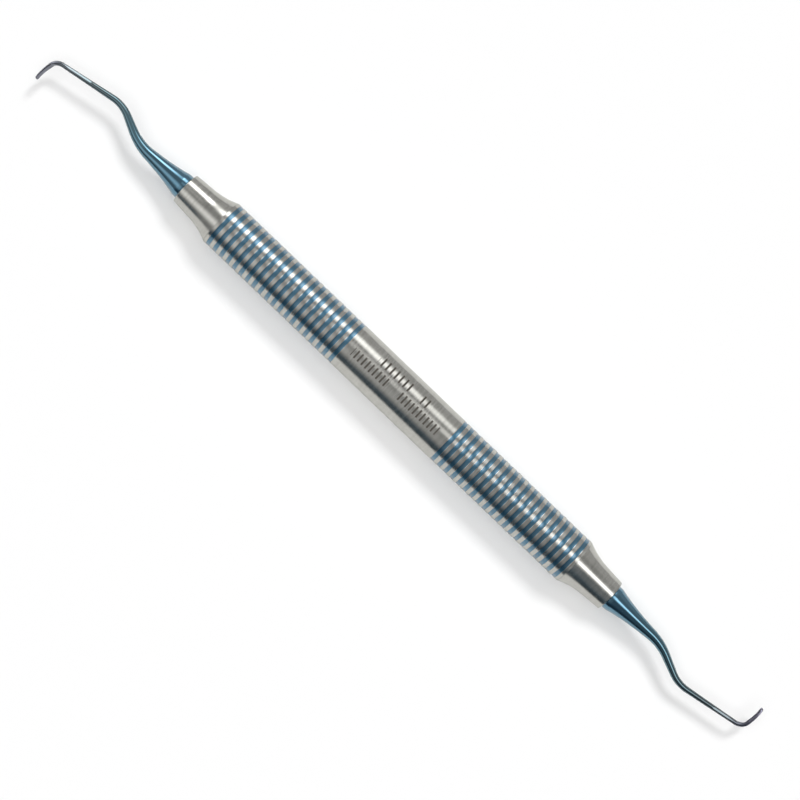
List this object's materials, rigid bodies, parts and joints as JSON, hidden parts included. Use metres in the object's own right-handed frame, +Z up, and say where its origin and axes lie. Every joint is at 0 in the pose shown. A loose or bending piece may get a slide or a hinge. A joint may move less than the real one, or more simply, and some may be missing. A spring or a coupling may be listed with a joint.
{
  "type": "hand scaler",
  "caption": "Double-ended dental hand scaler: hollow steel handle with blue banded grips, tapered noses and slim blue contra-angled working ends with curette blades.",
  "frame": {"origin": "on the surface the handle rests on, under the middle of the handle", "axes": "+X along the handle towards the end whose blade points to +Y, +Z up from the surface; both shanks bend in the XY plane"},
  "size_m": [0.1778, 0.0094, 0.0095],
  "materials": {
    "satin_steel": "satin, fine turned lines round the handle and faint lengthwise polishing",
    "blue_coated_steel": "polished steel with a thin deep blue hard coating, purple-grey on the blades",
    "blue_band_fill": "gloss blue enamel-like fill, its face slightly hollow between the lands",
    "cured_bond": "dull cured bonding resin, hidden"
  },
  "bodies": {
    "root": {"handle_tube": "satin_steel", "nose_left": "satin_steel", "nose_right": "satin_steel", "tang_bond_left": "cured_bond", "tang_bond_right": "cured_bond", "working_end_left": "blue_coated_steel", "working_end_right": "blue_coated_steel", "grip_band_left_01": "blue_band_fill", "grip_band_left_02": "blue_band_fill", "grip_band_left_03": "blue_band_fill", "grip_band_left_04": "blue_band_fill", "grip_band_left_05": "blue_band_fill", "grip_band_left_06": "blue_band_fill", "grip_band_left_07": "blue_band_fill", "grip_band_left_08": "blue_band_fill", "grip_band_left_09": "blue_band_fill", "grip_band_left_10": "blue_band_fill", "grip_band_left_11": "blue_band_fill", "grip_band_left_12": "blue_band_fill", "grip_band_left_13": "blue_band_fill", "grip_band_left_14": "blue_band_fill", "grip_band_left_15": "blue_band_fill", "grip_band_left_16": "blue_band_fill", "grip_band_left_17": "blue_band_fill", "grip_band_left_18": "blue_band_fill", "grip_band_left_19": "blue_band_fill", "grip_band_left_20": "blue_band_fill", "grip_band_right_01": "blue_band_fill", "grip_band_right_02": "blue_band_fill", "grip_band_right_03": "blue_band_fill", "grip_band_right_04": "blue_band_fill", "grip_band_right_05": "blue_band_fill", "grip_band_right_06": "blue_band_fill", "grip_band_right_07": "blue_band_fill", "grip_band_right_08": "blue_band_fill", "grip_band_right_09": "blue_band_fill", "grip_band_right_10": "blue_band_fill", "grip_band_right_11": "blue_band_fill", "grip_band_right_12": "blue_band_fill", "grip_band_right_13": "blue_band_fill", "grip_band_right_14": "blue_band_fill", "grip_band_right_15": "blue_band_fill", "grip_band_right_16": "blue_band_fill", "grip_band_right_17": "blue_band_fill", "grip_band_right_18": "blue_band_fill", "grip_band_right_19": "blue_band_fill", "grip_band_right_20": "blue_band_fill"}
  },
  "joints": []
}
